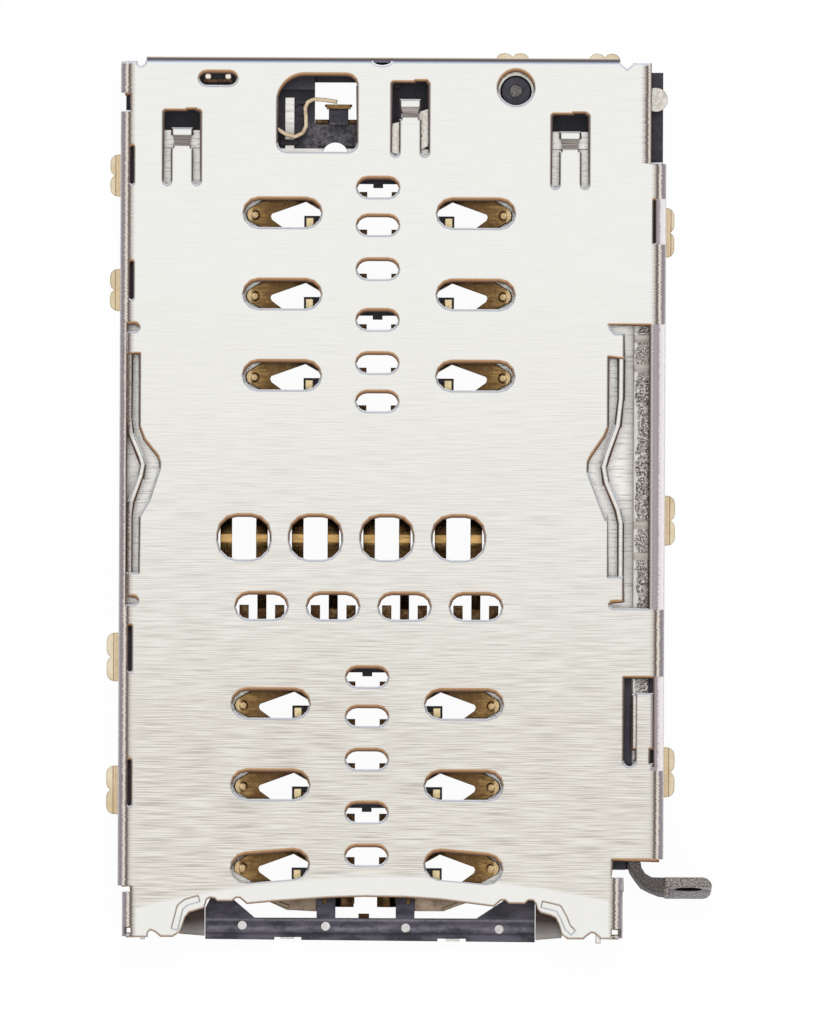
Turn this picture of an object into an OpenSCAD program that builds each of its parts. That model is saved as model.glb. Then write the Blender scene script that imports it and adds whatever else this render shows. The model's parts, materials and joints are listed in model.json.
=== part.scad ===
// Combined card reader: two small card bays and one memory card bay under one
// stamped shell, with a side push rod and an ejector lever at the rear.
// Millimetres. X runs across the reader, Y from the mouth to the rear wall,
// Z up from the solder side to the shell. Lies on its solder side at Z = 0.

/* [Shell] */

// Width over the two side walls
shell_w = 16.8; // [15:0.1:19]
// Outer face of the rear wall, from the origin
rear_y = 13.62; // [12:0.01:15]
// Front end of the shell feet, from the origin
front_y = 13.46; // [12:0.01:15]
// Height of the reader above the board
body_h = 1.4; // [1.2:0.05:1.8]
// Thickness of the stamped sheet
sheet_t = 0.15; // [0.1:0.01:0.2]
// Outer radius of the bends
bend_r = 0.22; // [0.2:0.01:0.4]
// Height at which the walls end above the board
wall_z = 0.15; // [0.1:0.01:0.3]

/* [Openings for the card springs] */

// Length of an opening over a small card spring
sim_slot_l = 2.44; // [2:0.01:2.6]
// Width of an opening over a small card spring
sim_slot_w = 0.96; // [0.7:0.01:1.1]
// Distance between the rows of small card springs
sim_pitch_y = 2.5; // [2.4:0.01:2.6]
// Distance between the two columns of small card springs
sim_pitch_x = 5.95; // [5.6:0.01:6.2]
// First row of the rear card bay
sim1_row_y = 8.82; // [8.5:0.01:9.1]
// Middle line of the rear card bay
sim1_mid_x = -0.43; // [-0.6:0.01:0]
// First row of the front card bay
sim2_row_y = -6.28; // [-6.5:0.01:-6]
// Middle line of the front card bay
sim2_mid_x = -0.73; // [-0.9:0.01:-0.3]

/* [Memory card springs] */

// Distance between neighbouring memory card springs
sd_pitch = 1.1; // [1.1:0.01:1.12]
// First memory card spring, from the origin
sd_first_x = -5.1; // [-5.3:0.01:-5]
// Crown of the memory card springs
sd_crown_y = -1.2; // [-1.3:0.01:-1.1]
// Width of a memory card spring
sd_finger_w = 0.36; // [0.3:0.01:0.45]

/* [Base] */

// Thickness of the moulded base under the cards
base_h = 0.4; // [0.3:0.01:0.5]
// Thickness of the spring sheet
spring_t = 0.12; // [0.08:0.01:0.15]
// Height the springs stand up to with no card in
crown_z = 1.08; // [0.9:0.01:1.2]

/* [Ejector] */

// Travel of the push rod from its resting place
rod_travel = 1.0; // [0.5:0.05:1.2]
// Width of the push rod
rod_w = 0.48; // [0.4:0.01:0.55]
// Height of the push rod
rod_h = 0.7; // [0.5:0.01:0.75]
// Running gap round the moving parts
run_gap = 0.04; // [0.02:0.01:0.08]
// Radius of the post the lever turns on
post_r = 0.44; // [0.35:0.01:0.5]
// Place of the lever post, from the origin
post_x = 3.76; // [3.6:0.01:4]
// Place of the lever post towards the rear wall
post_y = 12.6; // [12.4:0.01:12.7]
// Thickness of the lever
lever_t = 0.3; // [0.2:0.01:0.35]
// Radius of the socket for the ejector pin
socket_r = 0.42; // [0.3:0.01:0.45]
// Depth of the socket for the ejector pin
socket_d = 0.2; // [0.1:0.01:0.25]

/* [Hidden] */

$fn = 32;
eps = 0.01;
cut_fn = 12;
half_w = shell_w / 2;
wall_in = half_w - sheet_t;
roof_z = body_h - sheet_t;
rear_in = rear_y - sheet_t;
corner_y = rear_y - 0.16;
step_y = -11.9;
right_end_y = -11.02;
right_gap_y = rear_y - 3.24;
right_gap_x = half_w - 0.5;
foot_left_x = -half_w + 0.14;
foot_right_x = half_w - 1.24;
slab_front_y = -12.1;
bar_back_y = -12.9;
bar_front_y = -13.62;
bar_x0 = -half_w + 2.7;
bar_x1 = half_w - 3.94;
lead_z = base_h - spring_t;
sd_root_y = sd_crown_y - 1.05;
rod_x = half_w - 0.97;
rod_z = base_h + run_gap;
rod_top_y = post_y - 0.68;
rod_low_y = -11.06;
neck_z1 = 0.95;
rail_x = rod_x + rod_w + run_gap;
guides = [[6.0, 0.8, 0.2], [-9.1, 4.1, 0.32]];
guide_x = rod_x - run_gap;
lever_z = 0.76;
side_post_z = lever_z - 0.06;
cam_r = 0.3;
cam_x = rod_x + 0.19;
arm_x = half_w - 0.33;
cam_y = rod_top_y + run_gap + cam_r;
tab_x0 = half_w + 0.06;
tab_x1 = half_w + 1.5;
tab_z0 = 0.08;
tab_z1 = 1.18;
sim_root_u = 1.3;
sim_root_w = 0.32;
sim_tail_u = 2.6;
sim_rise = atan((crown_z - base_h) / 2.2);
sim_half = 0.86;
tail_gap = 0.73;
tab_root = 0.7;
slab_x0 = -half_w + 0.45;
slab_x1 = half_w - 1.58;
rail_w = 0.5;
side_x = half_w - 0.1;
side_y = rear_y - 0.42;
clip_x = -half_w + 2.99;
// roof tongues: middle, end, dip of the tip, place and width of the notch before it
tongues = [[-half_w + 1.89, rear_y - 1.63, 0.3, 0.12, 0.34],
    [0.51, rear_y - 0.73, 0.13, 0.12, 0.42],
    [half_w - 2.96, rear_y - 1.7, 0.3, 0.06, 0.44]];
rod_slot_z = neck_z1 + run_gap;
rail_z = body_h - 0.31;
rear_block_z = 1.0;

// Flat shapes

module stadium(l, w) {
    square([l - w, w], center = true);
    for (s = [-1, 1]) translate([s * (l - w) / 2, 0]) circle(d = w, $fn = cut_fn);
}

module soft_box(l, w, r) {
    square([l - 2 * r, w], center = true);
    square([l, w - 2 * r], center = true);
    for (sx = [-1, 1], sy = [-1, 1])
        translate([sx * (l / 2 - r), sy * (w / 2 - r)]) circle(r, $fn = cut_fn);
}

// A strip of even width along a list of points
module bent_strip(points, w) {
    for (i = [0:len(points) - 2]) {
        a = points[i];
        b = points[i + 1];
        run = norm(b - a);
        translate(a) rotate(atan2(b[1] - a[1], b[0] - a[0]))
            translate([0, -w / 2]) square([run, w]);
    }
    for (i = [1:1:len(points) - 2])
        translate(points[i]) circle(d = w, $fn = 8);
}

module along_y(y0, y1) {
    translate([0, y1, 0]) rotate([90, 0, 0]) linear_extrude(y1 - y0) children();
}

module along_x(x0, x1) {
    translate([x0, 0, 0]) rotate([90, 0, 90]) linear_extrude(x1 - x0) children();
}

module block(x0, x1, y0, y1, z0, z1) {
    translate([x0, y0, z0]) cube([x1 - x0, y1 - y0, z1 - z0]);
}

// Shell

// Section through roof and both walls
module arch(x0, x1, top, r, low) {
    translate([x0, low]) square([x1 - x0, top - r - low]);
    translate([x0 + r, low]) square([x1 - x0 - 2 * r, top - low]);
    fn = r < bend_r ? cut_fn : $fn;
    translate([x0 + r, top - r]) circle(r, $fn = fn);
    translate([x1 - r, top - r]) circle(r, $fn = fn);
}

module arch_sheet(x0, x1) {
    difference() {
        arch(x0, x1, body_h, bend_r, wall_z);
        arch(x0 + sheet_t, x1 - sheet_t, roof_z, bend_r - sheet_t, wall_z - 1);
    }
}

module rear_sheet() {
    difference() {
        arch(rear_y - 2, rear_y, body_h, bend_r, wall_z);
        arch(rear_y - 3, rear_in, roof_z, bend_r - sheet_t, wall_z - 1);
        translate([rear_y - 4, -1]) square([4 - bend_r - 0.2, body_h + 2]);
    }
}

// Openings over the springs of one small card bay
module sim_openings(mid_x, row_y, last_turn) {
    for (i = [0:2], s = [-1, 1])
        translate([mid_x + s * sim_pitch_x / 2, row_y - i * sim_pitch_y])
            rotate(i == 2 ? -s * last_turn : 0) stadium(sim_slot_l, sim_slot_w);
}

module tail_openings(x, ys) {
    for (y = ys) translate([x, y]) stadium(1.34, 0.68);
}

// U-shaped cut round a roof tongue; its root is at the mouth side
module tongue_cut(x, top_y, lip_x, lip_w) {
    difference() {
        union() {
            translate([x - 0.6, top_y - 0.9]) square([1.2, 0.86]);
            translate([x - 0.56, top_y - 0.5]) square([1.12, 0.5]);
            translate([x + lip_x, top_y - 0.1]) square([lip_w, 0.14]);
            for (s = [-1, 1]) {
                translate([x + s * 0.454 - 0.146, top_y - 2.2]) square([0.292, 1.4]);
                translate([x + s * 0.454, top_y - 2.2]) circle(r = 0.146, $fn = cut_fn);
            }
        }
        translate([x, top_y]) tongue_outline();
    }
}

// Waisted tongue with a wider tip
module tongue_outline() {
    polygon([[-0.3, -0.56], [-0.3, -0.74], [-0.24, -1.0], [-0.31, -2.1], [-0.31, -2.6],
        [0.31, -2.6], [0.31, -2.1], [0.24, -1.0], [0.3, -0.74], [0.3, -0.56]]);
}

module switch_window() {
    translate([-2.35, 11.9]) {
        difference() {
            square([2.5, 2.45], center = true);
            translate([-1.25, 0.36]) square([0.86, 0.87]);
            translate([0.9, 0.87]) square([0.36, 0.36]);
            translate([-1.26, -1.24]) square(0.3);
            translate([0.97, -1.24]) square(0.3);
        }
        translate([-0.39, 0.365]) circle(0.86);
        translate([0.9, 0.875]) circle(0.35, $fn = cut_fn);
        translate([-0.95, -0.925]) circle(0.3, $fn = cut_fn);
        translate([0.96, -0.935]) circle(0.29, $fn = cut_fn);
    }
}

// Window beside the left detent spring
module left_window() {
    translate([-half_w, 0]) {
        polygon([[0.2, 4.5], [0.64, 4.5], [0.64, 2.25], [0.8, 1.85], [1.2, 1.35],
            [1.27, 1.15], [1.27, 0.95], [1.2, 0.74], [0.95, -0.03], [0.65, -0.55],
            [0.63, -2.3], [0.2, -2.3]]);
        for (y = [5.28, -3.12]) {
            translate([0.45, y]) circle(0.17, $fn = cut_fn);
            translate([0.2, y - 0.17]) square([0.25, 0.34]);
        }
        translate([0.2, -3.3]) square([0.04, 8.5]);
    }
}

// Window beside the right detent spring and over the push rod
module right_window() {
    translate([half_w, 0]) {
        translate([-1.58, -3.34]) square([1.13, 0.28]);
        translate([-1.3, -3.34]) square([0.85, 8.5]);
        polygon([[-1.78, 5.44], [-0.45, 5.44], [-0.45, 5.12], [-1.58, 5.12], [-1.7, 5.25]]);
        polygon([[-1.78, 4.46], [-1.2, 4.46], [-1.2, -2.36], [-1.76, -2.36], [-1.76, -0.46],
            [-1.83, -0.62], [-2.32, 0.66], [-2.4, 0.88], [-2.4, 1.2], [-2.3, 1.42],
            [-1.9, 2.0], [-1.78, 2.3]]);
        translate([-1.58, -3.2]) circle(0.14, $fn = cut_fn);
    }
}

module lower_window() {
    translate([half_w, 0]) {
        translate([-1.27, -8.0]) square([0.42, 2.6]);
        translate([-1.06, -8.0]) circle(0.21, $fn = cut_fn);
        translate([-1.1, -5.94]) square([0.81, 0.54]);
        translate([-0.35, -8.2]) square([0.06, 2.6]);
        translate([-0.46, -8.1]) square([0.15, 0.5]);
    }
}

// Everything in front of the roof edge at the mouth
module mouth_waste() {
    l = -half_w;
    r = half_w;
    f = -front_y;
    polygon([[l + 0.92, f - 0.6], [l + 0.92, f + 0.12], [l + 1.02, f + 0.22],
        [l + 1.18, f + 0.16], [l + 1.34, f + 0.02], [l + 1.7, f + 0.02],
        [l + 1.92, f + 0.16], [l + 2.0, f + 0.36], [l + 2.08, f + 0.6],
        [l + 2.2, f + 0.76], [l + 2.66, f + 0.9], [l + 2.74, f + 1.16],
        [l + 2.84, f + 1.22], [l + 3.0, f + 1.2], [l + 3.08, f + 1.12],
        [l + 3.52, f + 1.12], [l + 3.64, f + 1.22], [l + 3.78, f + 1.22], [l + 4.0, f + 1.04],
        [l + 4.7, f + 1.11], [-1.9, f + 1.24], [-0.8, f + 1.28], [0.5, f + 1.26],
        [1.6, f + 1.19], [r - 5.22, f + 0.99], [r - 5.0, f + 1.18], [r - 4.86, f + 1.18],
        [r - 4.74, f + 1.08], [r - 4.26, f + 1.08], [r - 4.16, f + 1.18],
        [r - 4.0, f + 1.18], [r - 3.9, f + 1.06], [r - 3.86, f + 0.9],
        [r - 3.76, f + 0.8], [r - 3.46, f + 0.72], [r - 3.3, f + 0.64],
        [r - 3.2, f + 0.44], [r - 3.1, f + 0.12], [r - 2.9, f - 0.02],
        [r - 2.5, f - 0.04], [r - 2.35, f + 0.1], [r - 2.2, f + 0.2],
        [r - 2.08, f + 0.16], [r - 1.92, f + 0.02], [r - 1.92, f - 0.6]]);
}

module roof_openings() {
    sim_openings(sim1_mid_x, sim1_row_y, 0);
    sim_openings(sim2_mid_x, sim2_row_y, 5);
    tail_openings(-0.47, [9.61, 8.45, 7.1, 5.54, 4.21, 3.03]);
    tail_openings(-0.74, [-5.45, -6.66, -7.99, -9.62, -10.94]);
    for (i = [0:3]) {
        translate([sd_first_x + sd_pitch * (2 * i + 0.5), -1.17]) soft_box(1.66, 1.44, 0.6);
        translate([sd_first_x + sd_pitch * (2 * i + 1), -3.28]) soft_box(1.64, 0.88, 0.42);
    }
    translate([clip_x, rear_y - 0.67]) stadium(1.22, 0.49);
    translate([post_x, post_y + 0.1]) circle(0.58);
    for (t = tongues) tongue_cut(t[0], t[1], t[3], t[4]);
    switch_window();
    left_window();
    right_window();
    lower_window();
    // slots beside the bends at the solder tabs
    for (y = [10.28, 6.73]) translate([-half_w + 0.35, y]) stadium_y(0.17, 1.28);
    for (y = [-4.6, -8.73]) translate([-half_w + 0.35, y]) stadium_y(0.17, 1.54);
    translate([half_w - 0.36, 8.6]) stadium_y(0.12, 1.44);
    // corner reliefs and the middle notch of the rear edge
    translate([-half_w + 0.63, rear_y - 0.16]) circle(0.16, $fn = cut_fn);
    translate([-half_w + 0.47, rear_y - 0.16]) square([0.32, 0.4]);
    translate([-0.69, rear_y - 0.12]) square([0.66, 0.3]);
    translate([-0.36, rear_y - 0.12]) scale([1, 0.5]) circle(0.33, $fn = cut_fn);
    translate([half_w, rear_y]) polygon([[-1.46, 0.4], [-1.46, -0.16], [-1.22, -0.36],
        [-1.06, -0.22], [-1.0, -0.17], [-1.0, 0.4]]);
}

module stadium_y(w, l) {
    rotate(90) stadium(l, w);
}

// Roof tongue bent down at its free end
module tongue(x, top_y, dip) {
    intersection() {
        along_x(x - 0.31, x + 0.31)
            polygon([[top_y - 1.3, roof_z], [top_y - 1.3, body_h], [top_y - 1.12, body_h],
                [top_y - 0.78, body_h - dip], [top_y - 0.58, body_h - dip],
                [top_y - 0.58, roof_z - dip], [top_y - 0.8, roof_z - dip], [top_y - 1.2, roof_z]]);
        translate([x, top_y]) linear_extrude(3) tongue_outline();
    }
}

module shell_blank() {
    along_y(step_y - 0.1, corner_y) arch_sheet(-half_w, half_w);
    along_y(-front_y, step_y + 0.02) arch_sheet(foot_left_x, foot_right_x);
    along_x(-half_w + 0.79, half_w - 1.45) rear_sheet();
}

module shell() {
    color([0.86, 0.86, 0.84]) {
        difference() {
            shell_blank();
            // roof openings
            translate([0, 0, roof_z - 0.2]) linear_extrude(1) roof_openings();
            translate([0, 0, wall_z - 1]) linear_extrude(4) mouth_waste();
            // side wall ends at both mouth corners
            block(-half_w - 1, foot_left_x, -15, step_y, -1, 3);
            block(-half_w - 1, foot_left_x + 0.26, step_y - 0.2, step_y, -1, 3);
            block(foot_right_x, half_w + 1, -15, right_end_y, -1, 3);
            block(foot_right_x - 0.36, half_w + 1, -11.6, right_end_y, -1, 3);
            // no wall beside the lever
            block(right_gap_x, half_w + 1, right_gap_y, rear_y + 1, -1, 3);
            // latch notch behind the first tab
            block(-half_w - 1, -half_w + 0.34, 11.92, 12.5, -1, 3);
            // way of the push rod neck through the right wall
            block(half_w - 0.4, half_w + 1, -12, -9.6, -1, rod_slot_z);
            // tongues are set in below
            for (t = tongues)
                block(t[0] - 0.36, t[0] + 0.36, t[1] - 1.2, t[1] - 0.2, roof_z - 0.2, 3);
            // beads that stiffen the roof round the mouth corners
            translate([0, 0, body_h - 0.05]) linear_extrude(1) mouth_beads();
            // small notches in the roof of both feet
            block(foot_right_x - 0.36, foot_right_x - 0.06, 0.05 - front_y, 0.29 - front_y, 1, 3);
            block(foot_left_x + 0.08, foot_left_x + 0.29, 0.06 - front_y, 0.29 - front_y, 1, 3);
        }
        for (t = tongues) tongue(t[0], t[1], t[2]);
        detent_springs();
        foot_ends();
        // free tongue of the lower right window
        block(half_w - 0.96, half_w - 0.84, -7.62, -5.98, roof_z - 0.06, body_h - 0.04);
    }
}

// Shallow beads that follow the roof edge round both mouth corners
module mouth_beads() {
    f = -front_y;
    translate([-half_w, 0])
        bent_strip([[1.76, f + 0.22], [1.86, f + 0.6], [1.93, f + 0.9], [2.13, f + 1.06],
            [2.52, f + 1.17]], 0.2);
    translate([half_w, 0])
        bent_strip([[-2.76, f + 0.16], [-2.94, f + 0.34], [-3.04, f + 0.6], [-3.22, f + 0.92],
            [-3.74, f + 1.04]], 0.2);
}

// Ends of the walls at the mouth, turned inwards, each with a short pin
module foot_ends() {
    f = -front_y;
    block(foot_left_x, foot_left_x + 0.7, f, f + 0.1, wall_z, 0.75);
    block(foot_left_x + 0.56, foot_left_x + 0.7, f - 0.11, f + 0.1, wall_z, 0.6);
    block(foot_right_x - 0.7, foot_right_x, f, f + 0.1, wall_z, 0.75);
    block(foot_right_x - 0.83, foot_right_x - 0.67, f - 0.18, f + 0.1, wall_z, 0.6);
}

// Upright springs at both sides that catch the card tray
module detent_springs() {
    translate([0, 0, 0.62]) linear_extrude(body_h - 0.68) {
        translate([-half_w, 0])
            bent_strip([[0.3, 4.55], [0.3, 2.5], [0.36, 2.0], [0.66, 1.3], [0.73, 1.05],
                [0.66, 0.7], [0.37, -0.1], [0.32, -0.5], [0.32, -2.35]], 0.13);
        translate([half_w, 0])
            bent_strip([[-1.36, 4.5], [-1.37, 3.15], [-1.46, 2.33], [-1.8, 1.38], [-1.89, 1.03],
                [-1.8, 0.56], [-1.45, -0.26], [-1.36, -0.68], [-1.36, -2.4]], 0.14);
    }
    // ears that join the springs to the roof
    translate([-half_w, 0, roof_z]) linear_extrude(sheet_t) {
        polygon([[0.21, 5.1], [0.47, 5.1], [0.64, 4.5], [0.23, 4.5]]);
        polygon([[0.25, -2.3], [0.63, -2.3], [0.47, -2.94], [0.25, -2.94]]);
    }
    translate([half_w, 0, roof_z]) linear_extrude(sheet_t) {
        polygon([[-1.72, 5.12], [-1.45, 5.12], [-1.29, 4.4], [-1.78, 4.46]]);
        polygon([[-1.76, -2.36], [-1.29, -2.36], [-1.29, -3.06], [-1.72, -3.06]]);
    }
}

// Springs of the small cards

// Reach of the two solder tails of a row, from the middle of its opening
function tail_v(row) = row == 0 ? [0.54, -0.62] : row == 1 ? [0.52, -1.04] : [0.12, -1.04];

// Foot of one spring, let into the base; the tip points along +X
module sim_foot(row) {
    block(-sim_root_u - sim_root_w, -sim_root_u, -sim_half, sim_half, lead_z, base_h);
    for (v = tail_v(row)) {
        v1 = max(v, -sim_half + 0.14);
        block(-sim_root_u - sim_root_w - spring_t, -sim_root_u - sim_root_w,
            min(v, v1) - 0.14, v1 + 0.14, 0, base_h);
        block(-sim_tail_u, -sim_root_u - sim_root_w, v - 0.14, v + 0.14, 0, spring_t);
    }
    sim_land();
}

// Square land beside the window of the spring
module sim_land() {
    block(-sim_root_u - 0.1, -0.9, -0.46, -0.24, lead_z, base_h);
    block(-0.95, -0.72, -0.43, -0.13, lead_z, base_h + 0.02);
}

// Way through the base under one spring, with a corner left for the land
module sim_window() {
    difference() {
        block(-sim_root_u, 0.5, -0.9, 0.62, -1, 2);
        block(-2, -0.66, -2, -0.07, -2, 3);
    }
    block(-sim_root_u, -0.5, 0, 0.9, lead_z, 2);
    block(-sim_root_u, -0.5, -0.9, -0.6, lead_z, 2);
}

// Outline of the sprung plate, measured along its slope from the root
module sim_plate_outline() {
    translate([2.3, -0.05]) circle(r = 0.24, $fn = cut_fn);
    difference() {
        polygon([[2.38, 0.18], [1.68, 0.58], [0.63, sim_half], [-0.06, sim_half],
            [-0.06, -sim_half], [0.63, -sim_half], [1.68, -0.64], [2.38, -0.27]]);
        polygon([[1.74, -0.02], [1.78, -0.1], [1.74, -0.2], [1.34, -0.48], [1.15, -0.62],
            [0.1, -0.62], [0.02, -0.5], [0.02, 0.03], [0.63, 0.36]]);
    }
}

// Sprung plate that rises to a dimpled tip
module sim_beams() {
    translate([-sim_root_u, 0, lead_z]) rotate([0, -sim_rise, 0]) {
        linear_extrude(spring_t) sim_plate_outline();
        translate([2.28, -0.06, spring_t - 0.01]) cylinder(r1 = 0.18, r2 = 0.09, h = 0.06, $fn = 8);
    }
}

module sim_place(bay, n) {
    mid_x = bay == 1 ? sim1_mid_x : sim2_mid_x;
    row_y = bay == 1 ? sim1_row_y : sim2_row_y;
    col = n % 2 == 1 ? -1 : 1;
    translate([mid_x + col * sim_pitch_x / 2, row_y - floor((n - 1) / 2) * sim_pitch_y, 0])
        mirror([col < 0 ? 1 : 0, 0, 0]) children();
}

module sim_contact(bay, n) {
    color([0.78, 0.6, 0.32]) sim_place(bay, n) {
        sim_foot(floor((n - 1) / 2));
        sim_beams();
    }
    if (bay == 2 && n > 4) color([0.78, 0.6, 0.32]) mouth_lead(n);
}

// Leads of the last row reach out of the base at the mouth
module mouth_lead(n) {
    x = n == 5 ? -1.42 : -0.12;
    along_y(-12.56, -12.2)
        polygon([[x - 0.29, 0], [x - 0.29, 0.1], [x - 0.1, 0.2], [x + 0.1, 0.2], [x + 0.29, 0.1],
            [x + 0.29, 0]]);
}

// Springs of the memory card

module sd_foot(n) {
    x = sd_first_x + sd_pitch * (n - 1);
    block(x - sd_finger_w / 2, x + sd_finger_w / 2, sd_root_y - 0.44, sd_root_y, lead_z, base_h);
    if (n % 2 == 0) {
        // long lead between two anchor stubs
        along_x(x - 0.14, x + 0.14)
            polygon([[sd_root_y - 0.4, lead_z], [sd_root_y - 0.4, base_h], [sd_root_y - 0.5, base_h],
                [-3.36, spring_t], [-4.2, spring_t], [-4.2, 0], [-3.4, 0],
                [sd_root_y - 0.5, lead_z]]);
        for (s = [-1, 1])
            block(x + s * 0.55 - 0.145, x + s * 0.55 + 0.145, -4.2, -3.25, 0, spring_t);
        block(x - 0.69, x + 0.69, -4.2, -4.0, 0, spring_t);
    } else {
        block(x - 0.14, x + 0.14, sd_root_y - 0.56, sd_root_y - 0.44, 0, base_h);
        block(x - 0.14, x + 0.14, sd_root_y - 0.9, sd_root_y - 0.44, 0, spring_t);
    }
}

module sd_contact(n) {
    x = sd_first_x + sd_pitch * (n - 1);
    rise = crown_z - base_h;
    color([0.78, 0.6, 0.32]) {
        sd_foot(n);
        along_x(x - sd_finger_w / 2, x + sd_finger_w / 2)
            polygon([[sd_root_y, lead_z], [sd_root_y, base_h], [sd_crown_y - 0.25, crown_z - 0.08],
                [sd_crown_y - 0.12, crown_z], [sd_crown_y + 0.12, crown_z],
                [sd_crown_y + 0.3, crown_z - 0.1], [-0.34, base_h + rise * 0.45],
                [-0.4, base_h + rise * 0.45 - spring_t], [sd_crown_y + 0.24, crown_z - 0.24],
                [sd_crown_y + 0.08, crown_z - spring_t], [sd_crown_y - 0.08, crown_z - spring_t],
                [sd_crown_y - 0.2, crown_z - 0.2], [sd_root_y + 0.08, lead_z]]);
    }
}

// Solder tabs

// Tab with two lobes; the outer end lies along +X
module tab_plate(out, len) {
    linear_extrude(wall_z) tab_outline(out, len);
}

module tab_outline(out, len) {
    lobe = len / 2 + 0.03;
    translate([0, -len / 2]) square([out - 0.3, len]);
    for (s = [-1, 1])
        translate([out - 0.5, s * (len - lobe) / 2]) soft_box(1, lobe, 0.24);
}

module tab_left(n) {
    // middle along the wall, length, reach beyond the wall
    spots = [[9.97, 1.3, 0.33], [6.44, 1.3, 0.33], [-4.88, 1.5, 0.38], [-8.98, 1.5, 0.38]];
    p = spots[n - 1];
    translate([tab_root - half_w, p[0], 0]) mirror([1, 0, 0]) tab_plate(p[2] + tab_root, p[1]);
}

module tab_right(n) {
    spots = [[8.28, 1.54, 0.27], [-0.6, 1.54, 0.33], [-8.36, 1.54, 0.35]];
    p = spots[n - 1];
    translate([half_w - tab_root, p[0], 0]) tab_plate(p[2] + tab_root, p[1]);
}

module tab_rear(n) {
    x = n == 1 ? post_x - 0.1 : half_w - 1.9;
    len = n == 1 ? 1.04 : 0.98;
    translate([x, rear_y - 0.92, 0]) rotate(90) tab_plate(1.1, len);
}

module all_tabs() {
    for (n = [1:4]) tab_left(n);
    for (n = [1:3]) tab_right(n);
    for (n = [1:2]) tab_rear(n);
}

// Card switch

module detect_spring_wire() {
    translate([0, 0, base_h]) linear_extrude(0.34)
        bent_strip([[-3.62, 11.44], [-3.34, 11.26], [-3.04, 11.18], [-2.8, 11.3], [-2.7, 11.52],
            [-2.71, 11.84], [-2.73, 12.07], [-2.65, 12.25], [-2.47, 12.34], [-2.13, 12.32],
            [-1.74, 12.26]], 0.12);
    block(-3.9, -3.6, 11.3, 11.6, 0, base_h + 0.34);
}

module detect_contact_parts() {
    // cap over the plastic block, with a foot at each side
    block(-2.07, -1.33, 12.04, 12.18, 0, 0.74);
    block(-2.12, -1.28, 12.1, 12.18, 0.5, 0.7);
    block(-2.42, -2.0, 11.6, 11.72, 0, 0.46);
    block(-1.4, -1.12, 11.6, 11.72, 0, 0.46);
    block(-2.42, -1.12, 11.6, 11.72, 0, spring_t);
    block(-1.8, -1.6, 11.6, 12.1, 0, spring_t);
}

// Floor plate

module floor_outline() {
    polygon([[-wall_in, 10.83], [-wall_in, -11.9], [slab_x0, -11.9], [slab_x0, slab_front_y],
        [-4.3, slab_front_y], [-4.3, -4.3], [-5.75, -4.3], [-5.75, 2.0], [-4.0, 2.0], [-4.0, 9.95],
        [3.1, 9.95], [3.1, 2.0], [4.2, 2.0], [4.2, -4.3], [2.8, -4.3],
        [2.8, slab_front_y], [slab_x1 - 0.12, slab_front_y], [slab_x1 - 0.12, -10.9],
        [guide_x, -10.9], [guide_x, -9.3],
        [rail_x, -9.3], [rail_x, 10.83]]);
    // bright strip beside the switch
    translate([-3.35, 10.7]) square([0.29, 1.7]);
}

module floor_sheet() {
    translate([0, 0, base_h - sheet_t]) linear_extrude(sheet_t) difference() {
        floor_outline();
        switch_bore();
        // lets the inner guides of the push rod through
        for (g = guides) translate([guide_x - g[2], g[0]]) square([g[2], g[1]]);
        // keeps clear of the rails along the left wall
        translate([-half_w, 5.4]) square([rail_w, 6]);
        translate([-half_w, -12]) square([rail_w, 8.6]);
    }
    // lips that lead the tray in
    mouth_lip(-half_w + 1.9, bar_x0 - 0.02, -1);
    mouth_lip(bar_x1 + 0.02, half_w - 3.12, 1);
}

// Round hole through base and floor at the switch
module switch_bore() {
    translate([-1.8, 10.62]) circle(0.4);
}

module mouth_lip(x0, x1, s) {
    translate([0, 0, base_h - sheet_t]) linear_extrude(sheet_t)
        polygon(s < 0 ? [[x0, 0.06 - front_y], [x1, -front_y], [x1, 0.96 - front_y],
            [x1 + 0.12, step_y], [x0 - 0.4, step_y], [x0 - 0.4, step_y - 0.5], [x0, 0.66 - front_y]]
            : [[x0, bar_front_y + 0.07], [x1, bar_front_y + 0.14], [x1 + 0.2, bar_back_y],
            [x1 + 0.5, slab_front_y - 0.14], [slab_x1 - 0.42, slab_front_y - 0.14],
            [slab_x1 - 0.42, step_y + 0.2], [x0 - 0.12, step_y + 0.2], [x0, bar_back_y + 0.4]]);
}

// Moulded base

module base_outline() {
    polygon([[-wall_in, rear_in - 0.22], [-half_w + 0.4, rear_in - 0.22], [-half_w + 0.8, rear_in],
        [half_w - 1.5, rear_in], [half_w - 1.1, side_y], [side_x, side_y],
        [side_x, right_gap_y + 0.04], [wall_in, right_gap_y + 0.04],
        [wall_in, -9.4], [guide_x, -9.4], [guide_x, -11.36], [slab_x1, -11.36],
        [slab_x1, slab_front_y], [slab_x0, slab_front_y], [slab_x0, -11.8], [-wall_in, -11.8]]);
    // bar across the mouth
    polygon([[bar_x0, bar_front_y + 0.06], [bar_x0, bar_back_y + 0.3],
        [bar_x0 + 0.2, slab_front_y - 0.1], [bar_x0 + 0.86, slab_front_y - 0.1],
        [bar_x0 + 0.86, bar_back_y + 0.56], [bar_x0 + 1.52, bar_back_y],
        [bar_x1 - 1.8, bar_back_y], [bar_x1 - 0.96, bar_back_y + 0.56],
        [bar_x1 - 0.96, slab_front_y - 0.1], [bar_x1, slab_front_y - 0.1], [bar_x1, bar_front_y]]);
    for (x = [-1.98, 0.46]) translate([x - 0.29, bar_back_y - 0.1]) square([0.58, 0.9]);
}

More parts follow.
